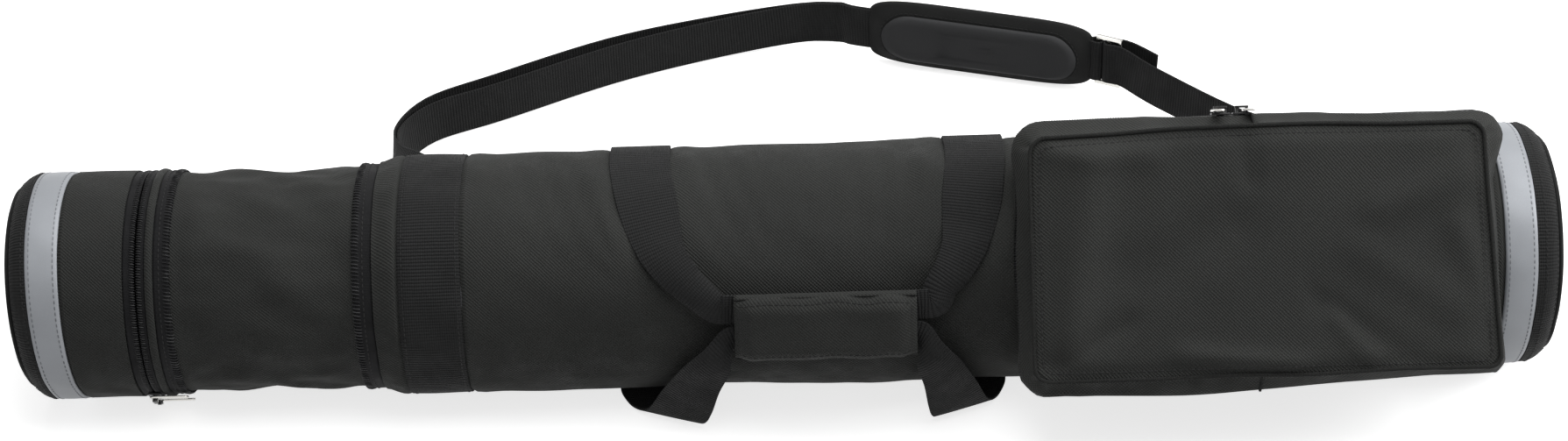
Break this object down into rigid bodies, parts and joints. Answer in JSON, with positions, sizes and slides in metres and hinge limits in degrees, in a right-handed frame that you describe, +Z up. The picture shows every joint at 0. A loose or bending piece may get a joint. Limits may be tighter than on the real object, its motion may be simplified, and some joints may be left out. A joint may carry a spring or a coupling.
{
  "type": "telescope carry case",
  "caption": "Long padded tube bag with a zip-off end lid, an expansion section, a zipped pocket, wrapped carry handles and a padded shoulder strap.",
  "frame": {"origin": "on the floor under the middle of the tube's length, on the flattened underside of the tube", "axes": "+X along the tube towards the plain end with the pocket, -Y towards the front with the grip and pocket, +Z up"},
  "size_m": [1.1048, 0.5489, 0.2355],
  "materials": {
    "nylon": "black basket-weave nylon, slightly satin",
    "foam": "closed-cell foam",
    "lining": "smooth woven lining",
    "board": "stiff end board",
    "webbing": "ribbed black webbing",
    "binding": "folded binding tape over a cord",
    "reflective": "silver reflective tape",
    "zip": "nylon coil on woven tape",
    "slider_black": "black coated zip slider",
    "pull_metal": "nickel plated wire",
    "ring_metal": "nickel plated steel",
    "hook_tape": "hook tape",
    "pad": "padded nylon",
    "pad_patch": "matt non-slip patch"
  },
  "bodies": {
    "case_tube": {"tube_shell": "nylon", "tube_foam_liner": "foam", "tube_lining": "lining", "end_panel_right": "nylon", "end_board_right": "board", "edge_webbing_right": "webbing", "rim_binding_right": "binding", "reflective_band_right": "reflective", "webbing_band": "webbing", "extension_zip_half_right": "zip", "extension_gusset": "nylon", "handle_anchor_left": "webbing", "handle_anchor_right": "webbing", "strap_tab_left": "webbing", "strap_tab_right": "webbing", "pocket_base_gusset": "nylon", "pocket_zip_half_base": "zip", "pocket_hinge_fabric": "nylon"},
    "collar": {"collar_shell": "nylon", "lid_zip_half_collar": "zip", "extension_zip_half_left": "zip", "lid_hinge_fabric": "nylon"},
    "end_lid": {"lid_shell": "nylon", "lid_foam_liner": "foam", "lid_end_panel": "nylon", "lid_end_board": "board", "lid_edge_webbing": "webbing", "lid_rim_binding": "binding", "lid_reflective_band": "reflective", "lid_zip_half_lid": "zip"},
    "upper_lid_slider": {"lid_slider_upper": "slider_black"},
    "upper_lid_pull": {"lid_pull_upper": "pull_metal"},
    "lower_lid_slider": {"lid_slider_lower": "slider_black"},
    "lower_lid_pull": {"lid_pull_lower": "pull_metal"},
    "expansion_slider": {"extension_slider": "slider_black"},
    "expansion_pull": {"extension_pull": "pull_metal"},
    "pocket_cover": {"pocket_front_panel": "nylon", "pocket_front_piping": "binding", "pocket_lid_gusset": "nylon", "pocket_zip_half_lid": "zip"},
    "left_pocket_slider": {"pocket_slider_left": "slider_black"},
    "left_pocket_pull": {"pocket_pull_left": "pull_metal"},
    "right_pocket_slider": {"pocket_slider_right": "slider_black"},
    "right_pocket_pull": {"pocket_pull_right": "pull_metal"},
    "carry_handle": {"handle_leg_upper_left": "webbing", "handle_leg_upper_right": "webbing", "handle_leg_lower_left": "webbing", "handle_leg_lower_right": "webbing", "grip_wrap": "nylon", "handle_webbing_core": "webbing", "grip_hook_strip": "hook_tape"},
    "grip_cover": {"grip_flap": "nylon"},
    "long_strap": {"strap_ring_left": "ring_metal", "strap_ring_right": "ring_metal", "strap_loop_webbing": "webbing", "strap_right_webbing": "webbing", "strap_adjuster": "ring_metal"},
    "strap_pad": {"shoulder_pad": "pad", "shoulder_pad_patch": "pad_patch"}
  },
  "joints": [
    {"name": "extension_slide", "type": "slide", "parent": "case_tube", "child": "collar", "axis": [1, 0, 0], "range_m": [0, 0.127], "deforming": ["extension_gusset"]},
    {"name": "lid_hinge", "type": "hinge", "parent": "collar", "child": "end_lid", "pos_m": [-0.458, 0.0846, 0.084], "axis": [0, 0, -1], "range_deg": [0, 90], "deforming": ["lid_hinge_fabric"]},
    {"name": "lid_slider_upper_run", "type": "hinge", "parent": "collar", "child": "upper_lid_slider", "pos_m": [-0.458, 0, 0.084], "axis": [-1, 0, 0], "range_deg": [0, 159]},
    {"name": "lid_pull_upper_swivel", "type": "hinge", "parent": "upper_lid_slider", "child": "upper_lid_pull", "pos_m": [-0.458, -0.06833, 0.03317], "axis": [0, -0.7771, -0.6293], "range_deg": [0, 90]},
    {"name": "lid_slider_lower_run", "type": "hinge", "parent": "collar", "child": "lower_lid_slider", "pos_m": [-0.458, 0, 0.084], "axis": [1, 0, 0], "range_deg": [0, 68]},
    {"name": "lid_pull_lower_swivel", "type": "hinge", "parent": "lower_lid_slider", "child": "lower_lid_pull", "pos_m": [-0.458, -0.04964, 0.01479], "axis": [0, 0.6157, 0.788], "range_deg": [0, 40]},
    {"name": "extension_slider_run", "type": "hinge", "parent": "case_tube", "child": "expansion_slider", "pos_m": [-0.306, 0, 0.084], "axis": [1, 0, 0], "range_deg": [0, 340]},
    {"name": "extension_pull_swivel", "type": "hinge", "parent": "expansion_slider", "child": "expansion_pull", "pos_m": [-0.306, 0.08441, 0.09533], "axis": [0, 0.9848, 0.1736], "range_deg": [-45, 45]},
    {"name": "pocket_lid_hinge", "type": "hinge", "parent": "case_tube", "child": "pocket_cover", "pos_m": [0.339, -0.1323, 0.0613], "axis": [1, 0, 0], "range_deg": [0, 120], "deforming": ["pocket_hinge_fabric"]},
    {"name": "pocket_slider_left_run", "type": "slide", "parent": "case_tube", "child": "left_pocket_slider", "axis": [-1, 0, 0], "range_m": [0, 0.115]},
    {"name": "pocket_pull_left_swivel", "type": "hinge", "parent": "left_pocket_slider", "child": "left_pocket_pull", "pos_m": [0.3055, -0.01335, 0.21915], "axis": [0, -0.6018, -0.7986], "range_deg": [0, 90]},
    {"name": "pocket_slider_right_run", "type": "slide", "parent": "case_tube", "child": "right_pocket_slider", "axis": [1, 0, 0], "range_m": [0, 0.155]},
    {"name": "pocket_pull_right_swivel", "type": "hinge", "parent": "right_pocket_slider", "child": "right_pocket_pull", "pos_m": [0.3275, -0.01335, 0.21915], "axis": [0, 0.6018, 0.7986], "range_deg": [0, 90]},
    {"name": "handle_lift", "type": "slide", "parent": "case_tube", "child": "carry_handle", "axis": [0, -0.9763, 0.2164], "range_m": [0, 0.05], "deforming": ["handle_leg_upper_left", "handle_leg_upper_right", "handle_leg_lower_left", "handle_leg_lower_right"]},
    {"name": "grip_flap_hinge", "type": "hinge", "parent": "carry_handle", "child": "grip_cover", "pos_m": [0.028, -0.097, 0.1311], "axis": [-1, 0, 0], "range_deg": [0, 150]},
    {"name": "strap_swing", "type": "hinge", "parent": "case_tube", "child": "long_strap", "pos_m": [0.1, 0.0914, 0.084], "axis": [1, 0, 0], "range_deg": [0, 95]},
    {"name": "pad_slide", "type": "slide", "parent": "long_strap", "child": "strap_pad", "axis": [-0.9593, 0.2823, 0], "range_m": [0, 0.012]}
  ]
}
